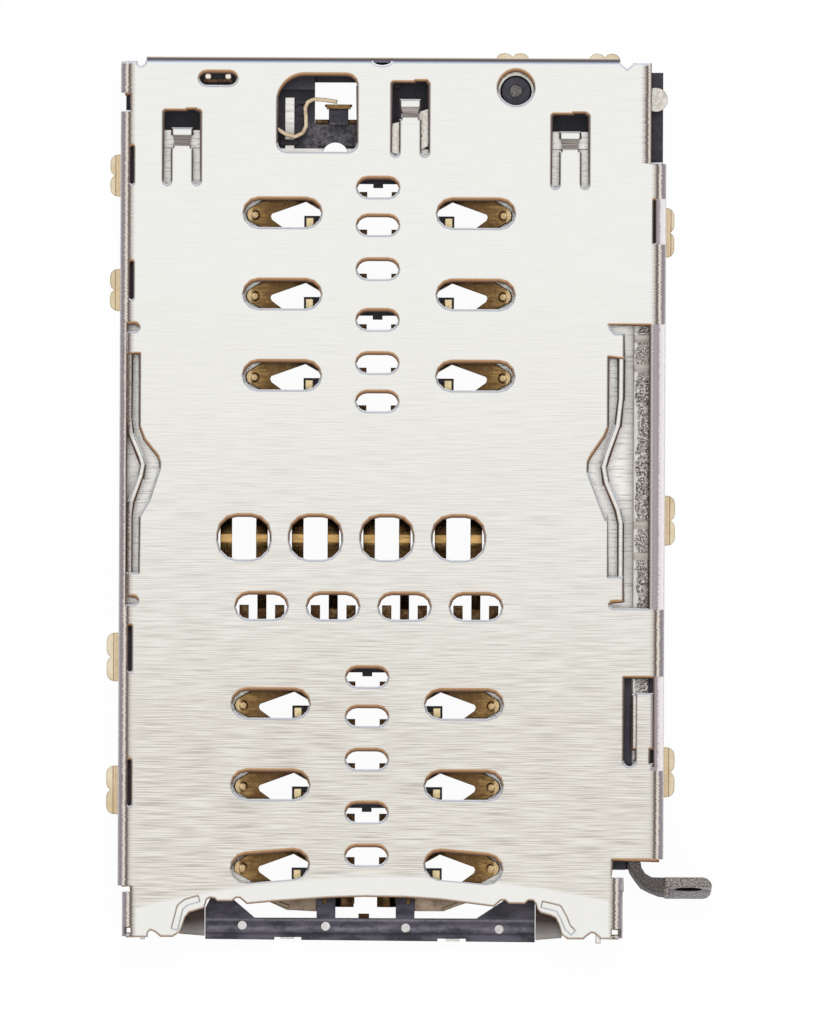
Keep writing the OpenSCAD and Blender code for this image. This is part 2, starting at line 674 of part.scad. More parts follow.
module base_housing_solid() {
    difference() {
        linear_extrude(base_h) base_outline();
        // hole under the switch
        block(-2.43, -1.12, 11.6, 12.87, -1, 1);
        // round recess beside the switch spring
        translate([-2.86, 12.0, base_h - 0.08]) cylinder(r = 0.2, h = 1, $fn = cut_fn);
        // round hole beside the switch
        translate([0, 0, -1]) linear_extrude(3) switch_bore();
        base_windows();
        // notches in the front of the bar
        block(-3.57, -2.74, -14, bar_front_y + 0.13, -1, 1);
        block(1.46, 2.33, -14, bar_front_y + 0.1, -1, 1);
        // step along the bar
        block(bar_x0 - 0.1, bar_x1 + 0.14, -14, bar_front_y + 0.26, base_h - 0.08, 1);
    }
    // rails under the roof along both walls
    block(-wall_in, rail_w - half_w, 5.44, 11.9, base_h - eps, rail_z);
    block(-wall_in, rail_w - half_w, -11.8, -3.34, base_h - eps, rail_z);
    block(rail_x, wall_in, -9.4, right_gap_y, base_h - eps, rail_z);
    // rear block beside the lever
    block(rail_x, side_x, right_gap_y, side_y, base_h - eps, side_post_z);
    // inner guides of the push rod
    for (g = guides) block(guide_x - g[2], guide_x, g[0], g[0] + g[1], 0, rail_z);
    block(slab_x1, slab_x1 + 0.42, -11.36, -10.9, 0, 0.9);
    // rear wall of the card bay and the latch block beside it
    block(-half_w + 0.8, -3.62, 12.2, rear_in, base_h - eps, rear_block_z);
    block(-3.62, -2.43, 12.62, rear_in, base_h - eps, 0.9);
    block(-1.12, 0.2, 12.7, rear_in, base_h - eps, 0.7);
    // block that carries the switch cap
    block(-2.0, -1.4, 11.55, 12.1, 0, 0.66);
    // bridge over the strip beside the switch
    block(-3.5, -2.95, 10.92, 11.1, base_h - eps, base_h + 0.06);
    // raised ring half round the hole at the switch
    intersection() {
        translate([-1.8, 10.62, base_h - eps]) difference() {
            cylinder(r = 0.62, h = 0.1, $fn = cut_fn);
            translate([0, 0, -1]) cylinder(r = 0.4, h = 3);
        }
        block(-2.5, -1.1, 10.9, 11.4, 0, 1);
    }
    // posts of the lever
    translate([post_x, post_y, 0]) cylinder(r = post_r, h = 1.16);
    translate([post_x, post_y, 0]) cylinder(r = post_r + 0.3, h = lever_z - run_gap, $fn = cut_fn);
}

module base_housing() {
    color([0.09, 0.09, 0.12]) difference() {
        base_housing_solid();
        floor_sheet();
        for (bay = [1, 2], n = [1:6]) sim_place(bay, n) sim_foot(floor((n - 1) / 2));
        for (n = [5, 6]) mouth_lead(n);
        for (n = [1:8]) sd_foot(n);
        all_tabs();
        detect_spring_wire();
        detect_contact_parts();
        bar_inserts();
        pivot_core();
        braces();
    }
}

// Ways through the base under the springs and over their solder tails
module base_windows() {
    for (bay = [1, 2], n = [1:6]) sim_place(bay, n) sim_window();
    for (w = [[-0.47, 2.62, 5.68], [-0.47, 6.2, 9.74], [-0.74, -11.42, -9.5], [-0.74, -9.0, -5.32]])
        difference() {
            block(w[0] - tail_gap, w[0] + tail_gap, w[1], w[2], -1, 2);
            // tooth at the rear edge
            block(w[0] - 0.15, w[0] + 0.15, w[2] - 0.12, w[2] + 1, -1, 3);
        }
    x0 = sd_first_x - 0.42;
    x1 = sd_first_x + 7 * sd_pitch + 0.42;
    block(x0, x1, sd_root_y, -0.2, -1, 2);
    block(x0, x1 + 0.6, -3.86, sd_root_y - 0.44, -1, 2);
}

module bar_pin(n) {
    spots = [[bar_x0 + 1.14, -13.13], [-1.99, -13.15], [0.48, -13.19], [bar_x1 - 1.1, -13.22]];
    translate([spots[n - 1][0], spots[n - 1][1], 0]) cylinder(r = 0.145, h = base_h + 0.02, $fn = cut_fn);
}

module bar_stub(n) {
    x = n == 1 ? -3.38 : 1.72;
    block(x, x + 0.42, n == 1 ? -13.55 : -13.6, -13.3, 0.05, 0.25);
}

// End of a lead that shows behind the bar
module mouth_stub() {
    block(-0.98, -0.65, bar_back_y - 0.2, bar_back_y + 0.14, 0.1, 0.1 + spring_t);
}

module bar_inserts() {
    for (n = [1:4]) bar_pin(n);
    for (n = [1:2]) bar_stub(n);
    mouth_stub();
}

// Clip that shows in the small oval hole at the rear
module clip_bar() {
    translate([clip_x, rear_y - 0.8, rear_block_z]) {
        block(-0.45, 0.45, 0, 0.12, 0, 0.14);
        for (x = [-0.31, 0.31]) translate([x, 0.2, 0]) cylinder(r = 0.1, h = 0.14, $fn = cut_fn);
    }
}

module pivot_core() {
    translate([post_x, post_y, 0.3]) cylinder(r = 0.2, h = 0.88, $fn = cut_fn);
}

// Two lead plates beside the posts at the mouth
module braces() {
    brace_plate(1);
    brace_plate(2);
}

module brace_plate(n) {
    back = slab_front_y + 0.1;
    front = bar_back_y + 0.22;
    rib = n == 1 ? [[-3.72, front + 0.34], [-3.14, front + 0.12]]
        : [[2.22, front + 0.28], [1.6, front + 0.04]];
    linear_extrude(spring_t + 0.1) bent_strip(rib, 0.1);
    linear_extrude(spring_t) if (n == 1)
        polygon([[-3.18, back], [-2.27, back], [-2.27, front - 0.02], [-3.18, front + 0.02],
            [-3.76, front + 0.28], [-3.76, back]]);
    else
        polygon([[0.75, back], [0.75, front], [1.6, front], [2.35, front + 0.26], [2.35, back]]);
}

// Push rod and lever

module push_rod() {
    color([0.36, 0.36, 0.37]) {
        difference() {
            block(rod_x, rod_x + rod_w, rod_low_y, rod_top_y, rod_z, rod_z + rod_h);
            // relieved runs between the raised pads
            for (y = [[-10.6, -2.1], [-0.55, 3.7], [5.2, 11.2]])
                block(rod_x - 1, rod_x + 1, y[0], y[1], rod_z + rod_h - 0.12, 3);
            for (y = [-1.68, -0.72, 4.12, 5.02])
                along_x(rod_x - 1, rod_x + 1) polygon([[y - 0.16, rod_z + rod_h + 0.02],
                    [y, rod_z + rod_h - 0.14], [y + 0.1, rod_z + rod_h + 0.02]]);
        }
        rod_neck();
        rod_tab();
    }
}

// Curved neck that leads the rod out through the wall
module rod_neck() {
    translate([half_w, 0, rod_z]) {
        linear_extrude(0.24) neck_outline(0.1);
        linear_extrude(neck_z1 - rod_z) neck_outline(0);
    }
}

// Quarter turn from the end of the rod to the tab; the flange stands out at its foot
module neck_outline(flange) {
    f = flange;
    polygon([[-1.08 - f / 2, -10.46], [-1.08 - f / 2, -11.15], [-0.94 - f, -11.42 - f / 2],
        [-0.78 - f, -11.66 - f / 2], [-0.6 - f, -11.84 - f], [-0.4 - f / 2, -11.97 - f],
        [-0.15, -12.04 - f * 1.5], [0.2, -12.06 - f * 1.8], [0.2, -11.6], [-0.34, -11.59],
        [-0.54, -11.48], [-0.66, -11.3], [-0.7, -11.1], [-0.7, -10.46]]);
}

module rod_tab() {
    difference() {
        intersection() {
            along_x(tab_x0, tab_x1)
                polygon([[-11.59, tab_z0], [-11.59, tab_z1], [-11.88, tab_z1], [-12.02, 0.24],
                    [-12.26, 0.22], [-12.26, tab_z0]]);
            linear_extrude(3) {
                translate([tab_x0 - 1, -12.3]) square([tab_x1 - tab_x0 + 0.74, 1]);
                translate([tab_x0, -12.04]) square([tab_x1 - tab_x0, 0.24]);
                translate([tab_x1 - 0.26, -11.85]) circle(0.26, $fn = cut_fn);
                translate([tab_x1 - 0.26, -12.0]) circle(0.26, $fn = cut_fn);
            }
        }
        translate([(tab_x0 + tab_x1) / 2, -12.5, (tab_z0 + tab_z1) / 2 + 0.04])
            rotate([-90, 0, 0]) cylinder(r = socket_r, h = 0.5 + socket_d + 0.02);
    }
}

module lever_blank() {
    cylinder(r = 0.72, h = lever_t, $fn = cut_fn);
    translate([-post_x, -post_y, 0]) {
        // right arm, with the cam the rod pushes and the rounded end
        linear_extrude(lever_t) polygon([[post_x, post_y + 0.5], [post_x + 1.44, post_y],
            [arm_x - 0.97, post_y - 0.1], [arm_x - 0.17, post_y + 0.08],
            [arm_x + 0.03, post_y - 0.5], [arm_x - 0.67, post_y - 0.56],
            [post_x + 1.84, post_y - 0.52], [post_x, post_y - 0.6]]);
        translate([cam_x, cam_y, 0]) cylinder(r = cam_r, h = lever_t, $fn = cut_fn);
        translate([arm_x, post_y - 0.24, 0]) cylinder(r = 0.37, h = lever_t);
        // left arm with its foot
        linear_extrude(lever_t) polygon([[post_x - 0.1, post_y + 0.6], [1.1, 12.06], [0.78, 11.96],
            [0.22, 11.66], [-0.07, 11.58], [-0.4, 11.5], [-0.6, 11.1], [-0.3, 10.76], [0.3, 10.6],
            [0.87, 10.79], [1.4, 11.1], [2.8, 11.75], [post_x + 0.1, post_y - 0.7]]);
    }
}

module eject_lever() {
    color([0.66, 0.65, 0.62]) translate([post_x, post_y, lever_z]) difference() {
        lever_blank();
        translate([0, 0, -1]) cylinder(r = post_r + run_gap, h = 2 + lever_t);
    }
}

// Named parts

module floor_plate() {
    color([0.74, 0.74, 0.72]) floor_sheet();
}

module tab_color() {
    color([0.9, 0.78, 0.55]) children();
}

shell();
base_housing();
floor_plate();
color([0.6, 0.45, 0.25]) brace_plate(1);  // brace_left
color([0.6, 0.45, 0.25]) brace_plate(2);  // brace_right
sim_contact(1, 1);  // sim1_contact_1
sim_contact(1, 2);  // sim1_contact_2
sim_contact(1, 3);  // sim1_contact_3
sim_contact(1, 4);  // sim1_contact_4
sim_contact(1, 5);  // sim1_contact_5
sim_contact(1, 6);  // sim1_contact_6
sim_contact(2, 1);  // sim2_contact_1
sim_contact(2, 2);  // sim2_contact_2
sim_contact(2, 3);  // sim2_contact_3
sim_contact(2, 4);  // sim2_contact_4
sim_contact(2, 5);  // sim2_contact_5
sim_contact(2, 6);  // sim2_contact_6
sd_contact(1);  // sd_contact_1
sd_contact(2);  // sd_contact_2
sd_contact(3);  // sd_contact_3
sd_contact(4);  // sd_contact_4
sd_contact(5);  // sd_contact_5
sd_contact(6);  // sd_contact_6
sd_contact(7);  // sd_contact_7
sd_contact(8);  // sd_contact_8
color([0.8, 0.62, 0.34]) detect_spring_wire();  // detect_spring
color([0.8, 0.62, 0.34]) detect_contact_parts();  // detect_contact
color([0.8, 0.62, 0.34]) clip_bar();  // rear_clip
color([0.8, 0.8, 0.82]) bar_pin(1);  // bar_pin_1
color([0.8, 0.8, 0.82]) bar_pin(2);  // bar_pin_2
color([0.8, 0.8, 0.82]) bar_pin(3);  // bar_pin_3
color([0.8, 0.8, 0.82]) bar_pin(4);  // bar_pin_4
color([0.8, 0.8, 0.82]) bar_stub(1);  // bar_stub_1
color([0.8, 0.8, 0.82]) bar_stub(2);  // bar_stub_2
color([0.8, 0.62, 0.34]) mouth_stub();
color([0.8, 0.8, 0.82]) pivot_core();  // pivot_pin
tab_color() tab_left(1);  // ground_tab_left_1
tab_color() tab_left(2);  // ground_tab_left_2
tab_color() tab_left(3);  // ground_tab_left_3
tab_color() tab_left(4);  // ground_tab_left_4
tab_color() tab_right(1);  // ground_tab_right_1
tab_color() tab_right(2);  // ground_tab_right_2
tab_color() tab_right(3);  // ground_tab_right_3
tab_color() tab_rear(1);  // ground_tab_rear_1
tab_color() tab_rear(2);  // ground_tab_rear_2
push_rod();
eject_lever();
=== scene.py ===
"""Looks of the card reader: materials, small stamped and plated details, light and camera."""

import bmesh
import bpy
import json
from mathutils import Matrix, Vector


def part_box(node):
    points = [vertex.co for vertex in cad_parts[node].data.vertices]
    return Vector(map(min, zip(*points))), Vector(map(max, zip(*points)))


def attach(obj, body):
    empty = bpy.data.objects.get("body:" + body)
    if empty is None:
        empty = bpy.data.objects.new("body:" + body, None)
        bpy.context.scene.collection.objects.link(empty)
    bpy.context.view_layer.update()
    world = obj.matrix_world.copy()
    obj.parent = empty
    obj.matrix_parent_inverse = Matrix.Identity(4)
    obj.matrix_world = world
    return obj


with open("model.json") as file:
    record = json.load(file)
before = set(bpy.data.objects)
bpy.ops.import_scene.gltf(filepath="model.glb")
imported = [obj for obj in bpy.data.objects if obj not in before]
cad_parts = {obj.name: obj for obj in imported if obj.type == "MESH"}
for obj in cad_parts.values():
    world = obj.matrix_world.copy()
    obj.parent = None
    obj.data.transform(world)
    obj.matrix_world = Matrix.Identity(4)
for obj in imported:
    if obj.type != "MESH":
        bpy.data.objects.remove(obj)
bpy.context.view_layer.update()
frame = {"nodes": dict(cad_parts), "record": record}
nodes = frame["nodes"]
scene = bpy.context.scene
MM = 0.001
X, Y, Z = 0, 1, 2

# Outline of the shell in millimetres, as in the CAD
HALF_WIDTH = 8.4
REAR_Y = 13.62
LEFT_END_X, LEFT_END_Y = 8.26, -11.9
RIGHT_END_X, RIGHT_END_Y = 7.16, -11.02
REAR_STEP, REAR_STEP_Y = 0.33, 10.38
MOUTH_Y = -11.3


# Node helpers

def new_material(name):
    mat = bpy.data.materials.new(name)
    mat.use_nodes = True
    tree = mat.node_tree
    tree.nodes.clear()
    out = tree.nodes.new("ShaderNodeOutputMaterial")
    shader = tree.nodes.new("ShaderNodeBsdfPrincipled")
    tree.links.new(shader.outputs[0], out.inputs[0])
    return mat, tree, shader


def coords(tree, scale):
    """Object coordinates, scaled per millimetre along X, Y and Z."""
    tex = tree.nodes.new("ShaderNodeTexCoord")
    mapping = tree.nodes.new("ShaderNodeMapping")
    mapping.inputs["Scale"].default_value = [s / MM for s in scale]
    tree.links.new(tex.outputs["Object"], mapping.inputs["Vector"])
    return mapping.outputs["Vector"]


def noise(tree, scale, detail, rough=0.55):
    tex = tree.nodes.new("ShaderNodeTexNoise")
    tex.inputs["Scale"].default_value = 1.0
    tex.inputs["Detail"].default_value = detail
    tex.inputs["Roughness"].default_value = rough
    tree.links.new(coords(tree, scale), tex.inputs["Vector"])
    return tex.outputs["Fac"]


def remap(tree, value, low, high, to_low, to_high):
    node = tree.nodes.new("ShaderNodeMapRange")
    node.inputs["From Min"].default_value = low
    node.inputs["From Max"].default_value = high
    node.inputs["To Min"].default_value = to_low
    node.inputs["To Max"].default_value = to_high
    tree.links.new(value, node.inputs["Value"])
    return node.outputs["Result"]


def math_node(tree, op, a, b=None):
    node = tree.nodes.new("ShaderNodeMath")
    node.operation = op
    for socket, v in zip(node.inputs, (a, b)):
        if v is None:
            continue
        if isinstance(v, (int, float)):
            socket.default_value = v
        else:
            tree.links.new(v, socket)
    return node.outputs[0]


def ramp(tree, value, stops):
    node = tree.nodes.new("ShaderNodeValToRGB")
    band = node.color_ramp
    while len(band.elements) < len(stops):
        band.elements.new(0.5)
    for element, (pos, colour) in zip(band.elements, stops):
        element.position = pos
        element.color = (*colour, 1.0)
    tree.links.new(value, node.inputs["Fac"])
    return node.outputs["Color"]


def mix(tree, factor, a, b):
    node = tree.nodes.new("ShaderNodeMix")
    node.data_type = "RGBA"
    tree.links.new(factor, node.inputs[0])
    for socket, v in ((node.inputs[6], a), (node.inputs[7], b)):
        if isinstance(v, tuple):
            socket.default_value = (*v, 1.0)
        else:
            tree.links.new(v, socket)
    return node.outputs[2]


def place(tree, axis):
    tex = tree.nodes.new("ShaderNodeTexCoord")
    split = tree.nodes.new("ShaderNodeSeparateXYZ")
    tree.links.new(tex.outputs["Object"], split.inputs[0])
    return math_node(tree, "MULTIPLY", split.outputs[axis], 1 / MM)


def within(tree, value, low, high, soft=0.02):
    """1 between low and high, 0 outside."""
    return math_node(tree, "MULTIPLY", remap(tree, value, low - soft, low + soft, 0.0, 1.0),
                     remap(tree, value, high + soft, high - soft, 0.0, 1.0))


def product(tree, *values):
    result = values[0]
    for value in values[1:]:
        result = math_node(tree, "MULTIPLY", result, value)
    return result


def peak(tree, *values):
    result = values[0]
    for value in values[1:]:
        result = math_node(tree, "MAXIMUM", result, value)
    return result


def blend(tree, a, b, share):
    """share of a and the rest of b."""
    return math_node(tree, "ADD", math_node(tree, "MULTIPLY", a, share),
                     math_node(tree, "MULTIPLY", b, 1 - share))


def sway(tree, value, wave, amount):
    """value, made to wander by a wave."""
    return math_node(tree, "ADD", value, math_node(tree, "MULTIPLY", wave, amount))


def scaled(tree, value, factor):
    return math_node(tree, "MULTIPLY", value, factor)


def facing(tree, axis):
    node = tree.nodes.new("ShaderNodeNewGeometry")
    split = tree.nodes.new("ShaderNodeSeparateXYZ")
    tree.links.new(node.outputs["Normal"], split.inputs[0])
    return split.outputs[axis]


def rounded_normal(tree, radius):
    """X, Y and Z of the normal, blended over the edges."""
    node = tree.nodes.new("ShaderNodeBevel")
    node.samples = 8
    node.inputs["Radius"].default_value = radius * MM
    split = tree.nodes.new("ShaderNodeSeparateXYZ")
    tree.links.new(node.outputs[0], split.inputs[0])
    return split.outputs


def crevice(tree, reach):
    """1 in a tight corner, 0 in the open."""
    node = tree.nodes.new("ShaderNodeAmbientOcclusion")
    node.samples = 8
    node.inputs["Distance"].default_value = reach * MM
    return remap(tree, node.outputs["AO"], 0.95, 0.35, 0.0, 1.0)


def bump(tree, shader, height, distance, strength, soft_edge=0.0):
    node = tree.nodes.new("ShaderNodeBump")
    node.inputs["Distance"].default_value = distance * MM
    node.inputs["Strength"].default_value = strength
    tree.links.new(height, node.inputs["Height"])
    if soft_edge:
        edge = tree.nodes.new("ShaderNodeBevel")
        edge.samples = 6
        edge.inputs["Radius"].default_value = soft_edge * MM
        tree.links.new(edge.outputs[0], node.inputs["Normal"])
    tree.links.new(node.outputs[0], shader.inputs["Normal"])


def finish(tree, shader, colour, metallic, grain, rough):
    """Set the colour, the metallic share and a gloss that follows the grain."""
    tree.links.new(colour, shader.inputs["Base Color"])
    if isinstance(metallic, float):
        shader.inputs["Metallic"].default_value = metallic
    else:
        tree.links.new(metallic, shader.inputs["Metallic"])
    tree.links.new(remap(tree, grain, 0.3, 0.7, *rough), shader.inputs["Roughness"])


def worn_metal(name, low, high, grain, scale, rough, depth=0.01, edge=0.03):
    """A metal whose colour and gloss wander along its grain."""
    mat, tree, shader = new_material(name)
    fine = noise(tree, (scale, scale, scale), 4.0, 0.6)
    broad = noise(tree, (0.9, 0.9, 0.9), 2.0)
    colour = ramp(tree, blend(tree, fine, broad, grain), ((0.36, low), (0.64, high)))
    finish(tree, shader, colour, 1.0, fine, rough)
    bump(tree, shader, fine, depth, 0.6, edge)
    return mat


# Shell: brushed along X, smoother along its curved front margin, which a painted highlight makes
# paler; painted light and shade on its bends and edges

def step(tree, value, at, below, above):
    """below up to a place, above beyond it."""
    return remap(tree, value, at - 0.01, at + 0.01, below, above)


def edge_distance(tree, x, y):
    """Distance from the outer edge of the roof, in millimetres across the reader."""
    right = step(tree, y, RIGHT_END_Y, RIGHT_END_X, HALF_WIDTH)
    right = math_node(tree, "SUBTRACT", right, step(tree, y, REAR_STEP_Y, 0.0, REAR_STEP))
    left = step(tree, y, LEFT_END_Y, LEFT_END_X, HALF_WIDTH)
    return math_node(tree, "MINIMUM", math_node(tree, "SUBTRACT", right, x),
                     math_node(tree, "ADD", left, x))


def brushed_roof(tree, x, y, lines):
    """Colour of the open roof, and 0 on the smooth front margin or 1 behind it."""
    broad_lines = noise(tree, (0.5, 6.0, 6.0), 3.0, 0.5)
    cloud = noise(tree, (0.12, 0.2, 0.2), 2.0)
    # painted shade: towards the mouth the roof grows darker and warmer and its brush lines show
    # stronger
    shade_to_mouth = remap(tree, y, 7.0, -7.0, 0.0, 1.0)
    base = ramp(tree, shade_to_mouth, ((0.0, (0.905, 0.905, 0.87)), (1.0, (0.87, 0.845, 0.78))))
    dark = ramp(tree, shade_to_mouth, ((0.0, (0.72, 0.70, 0.66)), (1.0, (0.42, 0.38, 0.33))))
    margin_y = math_node(tree, "ADD", scaled(tree, product(tree, x, x), -0.016), -11.72)
    brushed = remap(tree, math_node(tree, "SUBTRACT", y, margin_y), 0.08, 0.18, 0.0, 1.0)
    # the smooth front margin is paler: a painted highlight on its bent-down lip
    base = mix(tree, brushed, (0.90, 0.895, 0.86), base)
    scratched = remap(tree, blend(tree, lines, broad_lines, 0.92), 0.60, 0.30, 0.0, 0.85)
    streak = product(tree, scratched, remap(tree, shade_to_mouth, 0.0, 1.0, 0.35, 1.0),
                     remap(tree, brushed, 0.0, 1.0, 0.15, 1.0))
    colour = mix(tree, streak, base, dark)
    haze = remap(tree, cloud, 0.35, 0.65, 0.0, 0.10)
    return mix(tree, haze, colour, (0.92, 0.90, 0.86)), brushed


# Each of the next four returns the new colour and where it lies

def painted_edge_light(tree, y, colour):
    """Painted light on the rounded sheared edges: painted shade where they tilt, brown painted
    shade on those that face the mouth, a cool painted highlight on those that face the rear.
    """
    _, ny, nz = rounded_normal(tree, 0.075)
    up = remap(tree, nz, 0.15, 0.35, 0.0, 1.0)
    tilt_shade = product(tree, remap(tree, nz, 0.985, 0.84, 0.0, 0.8), up,
                   remap(tree, y, MOUTH_Y - 0.3, MOUTH_Y, 0.4, 1.0))
    mouth_facing_shade = product(tree, remap(tree, ny, -0.10, -0.30, 0.0, 1.0), up,
                       remap(tree, y, MOUTH_Y - 0.3, MOUTH_Y, 0.25, 1.0))
    rear_facing_highlight = product(tree, remap(tree, ny, 0.10, 0.30, 0.0, 0.8), up)
    colour = mix(tree, tilt_shade, colour, (0.11, 0.085, 0.08))
    colour = mix(tree, mouth_facing_shade, colour, (0.62, 0.36, 0.18))
    colour = mix(tree, rear_facing_highlight, colour, (0.56, 0.59, 0.66))
    return colour, peak(tree, mouth_facing_shade, rear_facing_highlight, scaled(tree, tilt_shade, 0.6))


def side_bend_light(tree, x, y, lines, roof_up, colour):
    """Painted reflection of the side bends: a dark hatched line, a light band and a lilac flank
    along both sides.
    """
    hatch = scaled(tree, math_node(tree, "SUBTRACT", lines, 0.5), 0.16)
    inward = math_node(tree, "ADD", edge_distance(tree, x, y), hatch)
    bend_reflection = ramp(tree, inward, ((0.0, (0.55, 0.52, 0.54)), (0.05, (0.25, 0.215, 0.235)),
                               (0.13, (0.28, 0.245, 0.26)), (0.175, (0.76, 0.69, 0.62)),
                               (0.21, (0.72, 0.65, 0.57)), (0.25, (0.11, 0.085, 0.07)),
                               (0.29, (0.12, 0.09, 0.075)), (0.36, (0.55, 0.51, 0.46))))
    open_bend_reflection = ramp(tree, inward, ((0.0, (0.50, 0.48, 0.49)), (0.05, (0.90, 0.85, 0.85)),
                                    (0.17, (0.80, 0.76, 0.76)), (0.21, (0.32, 0.27, 0.29)),
                                    (0.34, (0.36, 0.31, 0.33)), (0.40, (0.16, 0.135, 0.145)),
                                    (0.43, (0.60, 0.58, 0.58))))
    # the right side is open at the rod's window, at the rear tab and at the small window
    windows = [within(tree, y, low, high, 0.01)
               for low, high in ((-3.34, 5.44), (7.9, 9.3), (-8.3, -5.4))]
    beside_window = product(tree, peak(tree, *windows), remap(tree, x, 0.0, 0.1, 0.0, 1.0))
    share = product(tree, remap(tree, inward, 0.46, 0.36, 0.0, 1.0), roof_up)
    return mix(tree, share, colour, mix(tree, beside_window, bend_reflection, open_bend_reflection)), share


def rear_bend_light(tree, y, roof_up, colour):
    """Painted reflection of the rear bend: a dark line and a cool gradient along the rear edge.
    """
    inward = math_node(tree, "SUBTRACT", REAR_Y, y)
    bend_reflection = ramp(tree, inward, ((0.0, (0.70, 0.60, 0.46)), (0.045, (0.12, 0.085, 0.07)),
                               (0.10, (0.085, 0.075, 0.095)), (0.15, (0.36, 0.42, 0.52)),
                               (0.21, (0.80, 0.84, 0.88))))
    share = product(tree, remap(tree, inward, 0.24, 0.18, 0.0, 1.0), roof_up)
    return mix(tree, share, colour, bend_reflection), share


def tongue_slope_shade(tree, y, lines, roof_up, colour):
    """Painted shade, hatched grey, where the roof tongues dip."""
    share = product(tree, remap(tree, facing(tree, Y), 0.15, 0.25, 0.0, 1.0), roof_up,
                    within(tree, y, 10.5, 13.2))
    slope_shade = ramp(tree, lines, ((0.4, (0.17, 0.145, 0.135)), (0.6, (0.42, 0.38, 0.35))))
    return mix(tree, share, colour, slope_shade), share


def shell_material():
    """Brushed steel, with painted light and shade on its bends, sheared edges and tongue slopes.
    """
    mat, tree, shader = new_material("shell_brushed_steel")
    lines = noise(tree, (0.75, 30.0, 30.0), 1.5, 0.5)
    x = place(tree, X)
    y = place(tree, Y)
    roof_up = remap(tree, facing(tree, Z), 0.05, 0.1, 0.0, 1.0)
    colour, brushed = brushed_roof(tree, x, y, lines)
    colour, edge_light = painted_edge_light(tree, y, colour)
    colour, at_side = side_bend_light(tree, x, y, lines, roof_up, colour)
    colour, at_rear = rear_bend_light(tree, y, roof_up, colour)
    colour, on_slope = tongue_slope_shade(tree, y, lines, roof_up, colour)
    # where light and shade are painted, the steel is mostly not metallic, so the painted colour
    # shows
    painted_share = peak(tree, at_side, at_rear, edge_light, on_slope)
    metallic = math_node(tree, "SUBTRACT", 1.0, scaled(tree, painted_share, 0.85))
    finish(tree, shader, colour, metallic, lines, (0.20, 0.28))
    bump(tree, shader, product(tree, lines, brushed), 0.004, 0.3, 0.06)
    return mat


def rim_material():
    """Sheared edge of the sheet, in painted light: brown painted shade towards the mouth, a cool
    painted highlight towards the rear, painted shade on the sides and further down.
    """
    mat, tree, shader = new_material("sheared_edge")
    grain = noise(tree, (8.0, 8.0, 20.0), 3.0, 0.6)
    depth = remap(tree, sway(tree, place(tree, Z), grain, 0.02), 1.41, 1.34, 0.0, 1.0)
    brown_shade = ramp(tree, depth, ((0.0, (0.80, 0.50, 0.26)), (0.35, (0.40, 0.20, 0.09)),
                               (0.9, (0.10, 0.05, 0.035))))
    cool_highlight = ramp(tree, depth, ((0.0, (0.62, 0.66, 0.74)), (0.8, (0.86, 0.88, 0.92))))
    side_shade = ramp(tree, depth, ((0.0, (0.34, 0.25, 0.20)), (0.8, (0.10, 0.07, 0.06))))
    ny = facing(tree, Y)
    colour = mix(tree, remap(tree, ny, 0.1, 0.3, 0.0, 1.0), side_shade, cool_highlight)
    colour = mix(tree, remap(tree, ny, -0.08, -0.3, 0.0, 1.0), colour, brown_shade)
    finish(tree, shader, colour, 0.2, grain, (0.3, 0.5))
    bump(tree, shader, grain, 0.004, 0.4)
    return mat


def spring_material():
    """Copper alloy with worn gold plating, in painted shade where it lies low under the roof and
    in corners, with painted highlights on the dimple crowns.
    """
    mat, tree, shader = new_material("spring_worn_gold")
    grain = noise(tree, (6.0, 6.0, 6.0), 5.0, 0.65)
    streaks = noise(tree, (2.0, 11.0, 6.0), 3.0, 0.6)
    z = place(tree, Z)
    # painted shade: the lower under the roof, the darker, with streaks through it
    shade_and_streaks = blend(tree, remap(tree, z, 0.35, 1.05, 0.0, 1.0), streaks, 0.6)
    colour = ramp(tree, shade_and_streaks, ((0.12, (0.05, 0.024, 0.011)), (0.42, (0.145, 0.078, 0.034)),
                               (0.72, (0.33, 0.19, 0.075)), (0.86, (0.85, 0.53, 0.20))))
    colour = mix(tree, remap(tree, grain, 0.5, 0.72, 0.0, 0.3), colour, (0.75, 0.52, 0.26))
    # painted shade in the corners
    colour = mix(tree, scaled(tree, crevice(tree, 0.6), 0.9), colour, (0.03, 0.015, 0.008))
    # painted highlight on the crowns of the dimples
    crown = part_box("sim1_contact_1")[1][2] / MM
    colour = mix(tree, within(tree, z, crown - 0.045, crown + 0.05, 0.012), colour,
                 (1.0, 0.74, 0.40))
    # pale square lands beside the windows of the base
    colour = mix(tree, within(tree, z, 0.408, 0.43, 0.003), colour, (0.86, 0.70, 0.42))
    finish(tree, shader, colour, 1.0, grain, (0.18, 0.34))
    bump(tree, shader, grain, 0.012, 0.5, 0.04)
    return mat


def clip_material():
    """Dark plated clip with two bright round ends."""
    mat, tree, shader = new_material("clip_plated")
    grain = noise(tree, (9.0, 9.0, 9.0), 4.0, 0.6)
    off = math_node(tree, "ABSOLUTE", math_node(tree, "ADD", place(tree, X), 5.41))
    ends = product(tree, within(tree, off, 0.22, 0.40), within(tree, place(tree, Y), 12.95, 13.2))
    colour = mix(tree, remap(tree, grain, 0.4, 0.7, 0.0, 0.6), (0.05, 0.03, 0.02),
                 (0.22, 0.13, 0.08))
    colour = mix(tree, ends, colour, (0.92, 0.84, 0.72))
    finish(tree, shader, colour, 1.0, grain, (0.15, 0.3))
    bump(tree, shader, grain, 0.01, 0.5, 0.04)
    return mat


